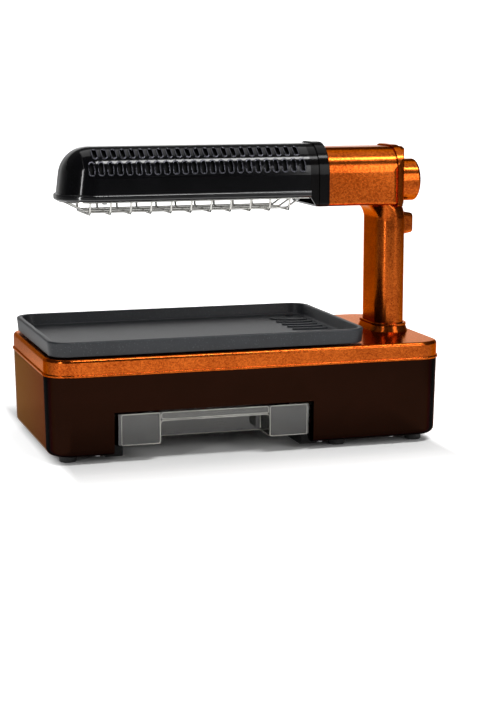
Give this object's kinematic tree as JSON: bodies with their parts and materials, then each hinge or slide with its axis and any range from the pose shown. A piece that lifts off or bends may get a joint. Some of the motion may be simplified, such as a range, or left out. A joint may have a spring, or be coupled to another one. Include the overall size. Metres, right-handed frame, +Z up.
{
  "type": "smokeless infrared grill",
  "caption": "Tabletop infrared grill: long base with a drip drawer and lift-off pan, and a vented heater head held over it by an oval column with a knob and button.",
  "frame": {"origin": "on the table, under the middle of the whole object's box", "axes": "+X along the base towards the column and the knob, +Y towards the back, +Z up; the drawer opens to -Y"},
  "size_m": [0.492, 0.253, 0.3578],
  "materials": {
    "casing_brown": "gloss, very dark brown",
    "copper_paint": "metallic copper lacquer with fine flake on moulded ABS",
    "collar_black": "gloss black",
    "head_black": "gloss black enamel",
    "inner_plastic": "moulded, matt",
    "rail_plastic": "moulded, satin",
    "screw_steel": "zinc plated",
    "foot_rubber": "moulded, matt",
    "silicone_pad": "moulded, matt",
    "inlet_plastic": "moulded, satin",
    "terminal_plastic": "moulded, off-white",
    "tray_clear": "smoky clear, polished",
    "pan_coating": "dark non-stick coating on a casting",
    "reflector_sheet": "bright rolled sheet",
    "heater_glass": "milky quartz",
    "ceramic": "fired ceramic, matt",
    "cutout_steel": "pressed steel",
    "shield_steel": "black heat-proof paint on sheet steel",
    "guard_wire": "bright plated wire",
    "knob_paint": "metallic copper lacquer on moulded ABS",
    "shaft_steel": "turned steel",
    "button_paint": "metallic copper lacquer on moulded ABS"
  },
  "bodies": {
    "base": {"lower_casing": "casing_brown", "deck_cover": "copper_paint", "column_collar": "copper_paint", "guide_sleeve": "inner_plastic", "drawer_rail_left": "rail_plastic", "drawer_rail_right": "rail_plastic", "rail_screws": "screw_steel", "casing_screws": "screw_steel", "rubber_feet": "foot_rubber", "pan_pads": "silicone_pad", "drain_chute": "inner_plastic", "cord_inlet": "inlet_plastic", "terminal_block": "terminal_plastic"},
    "tray": {"drip_tray": "tray_clear"},
    "pan": {"grill_pan": "pan_coating"},
    "head": {"arm_shell": "copper_paint", "column_cover": "copper_paint", "cover_screws": "screw_steel", "column_foot_ring": "inner_plastic", "head_end_collar": "collar_black", "head_shell": "head_black", "head_frame": "collar_black", "reflector": "reflector_sheet", "reflector_ends": "reflector_sheet", "heat_shield": "shield_steel", "heater_tube_front": "heater_glass", "heater_tube_rear": "heater_glass", "tube_holders": "ceramic", "thermal_cutout": "cutout_steel", "guard_ring": "guard_wire", "guard_wires": "guard_wire", "guard_hoops": "guard_wire", "frame_screws": "screw_steel", "heat_switch": "inner_plastic", "push_switch": "inner_plastic"},
    "knob": {"control_knob": "knob_paint", "knob_shaft": "shaft_steel"},
    "button": {"push_button": "button_paint"}
  },
  "joints": [
    {"name": "tray_slide", "type": "slide", "parent": "base", "child": "tray", "axis": [0, -1, 0], "range_m": [0, 0.16]},
    {"name": "pan_lift", "type": "slide", "parent": "base", "child": "pan", "axis": [0, 0, 1], "range_m": [0, 0.06]},
    {"name": "column_slide", "type": "slide", "parent": "base", "child": "head", "axis": [0, 0, 1], "range_m": [-0.04, 0]},
    {"name": "knob_turn", "type": "hinge", "parent": "head", "child": "knob", "pos_m": [0.233, 0, 0.3085], "axis": [1, 0, 0], "range_deg": [0, 270]},
    {"name": "button_press", "type": "slide", "parent": "head", "child": "button", "axis": [-1, 0, 0], "range_m": [0, 0.004], "stiffness_N_per_m": 600}
  ]
}
